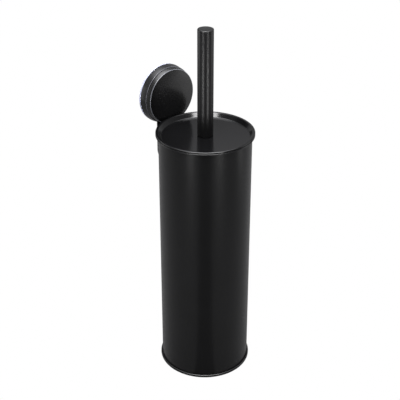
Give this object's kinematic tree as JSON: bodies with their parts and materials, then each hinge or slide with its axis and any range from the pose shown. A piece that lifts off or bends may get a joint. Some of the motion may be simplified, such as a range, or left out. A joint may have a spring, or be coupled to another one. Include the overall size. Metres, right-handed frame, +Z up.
{
  "type": "toilet brush holder",
  "caption": "Tall round tumbler with a lidded brush that lifts out, carried by a plate on a round suction wall mount with a turning lock ring.",
  "frame": {"origin": "centre of the base pad's underside, on the tumbler's axis", "axes": "+Z up along the tumbler's axis, +Y towards the wall, front faces -Y"},
  "size_m": [0.1, 0.1164, 0.3793],
  "materials": {
    "black_steel": "satin black powder coat",
    "cap_steel": "smooth satin black",
    "zinc_steel": "zinc plated",
    "brass": "turned",
    "black_plastic": "moulded",
    "cup_plastic": "moulded",
    "ring_plastic": "satin moulded",
    "white_plastic": "moulded",
    "bristle": "nylon filament",
    "foam": "closed-cell pad",
    "clear_pad": "clear soft plastic with a blue tint"
  },
  "bodies": {
    "holder": {"tumbler_shell": "black_steel", "tumbler_base": "black_steel", "base_pad": "foam", "hanger_plate": "black_steel", "hanger_spacers": "black_steel", "hanger_screws": "zinc_steel", "hanger_nuts": "zinc_steel", "front_cap": "cap_steel", "cap_insert": "black_plastic", "snap_ring": "zinc_steel", "hub": "white_plastic", "thrust_washer": "zinc_steel", "suction_pad": "clear_pad"},
    "cup": {"drip_cup": "cup_plastic"},
    "lid": {"lid_disc": "black_steel", "lid_bush": "black_plastic"},
    "brush": {"handle_tube": "black_steel", "handle_cap": "black_steel", "handle_plug": "white_plastic", "joining_stud": "zinc_steel", "lid_washer": "zinc_steel", "lid_nut": "zinc_steel", "brush_stem": "black_plastic", "brush_core": "black_plastic", "bristles": "bristle"},
    "ring": {"lock_ring": "ring_plastic", "drive_nut": "brass"},
    "puller": {"pull_stud": "zinc_steel", "pad_disc": "white_plastic"}
  },
  "joints": [
    {"name": "cup_lift", "type": "slide", "parent": "holder", "child": "cup", "axis": [0, 0, 1], "range_m": [0, 0.29]},
    {"name": "brush_lift", "type": "slide", "parent": "cup", "child": "lid", "axis": [0, 0, 1], "range_m": [0, 0.275]},
    {"name": "brush_spin", "type": "hinge", "parent": "lid", "child": "brush", "pos_m": [0, 0, 0.2], "axis": [0, 0, 1], "continuous": true},
    {"name": "ring_turn", "type": "hinge", "parent": "holder", "child": "ring", "pos_m": [0, 0.062, 0.2942], "axis": [0, 1, 0], "range_deg": [0, 360]},
    {"name": "stud_pull", "type": "slide", "parent": "holder", "child": "puller", "axis": [0, -1, 0], "range_m": [0, 0.002]}
  ],
  "couplings": [
    {"joint": "stud_pull", "follows": "ring_turn", "m_per_rad": 0.00031831}
  ]
}
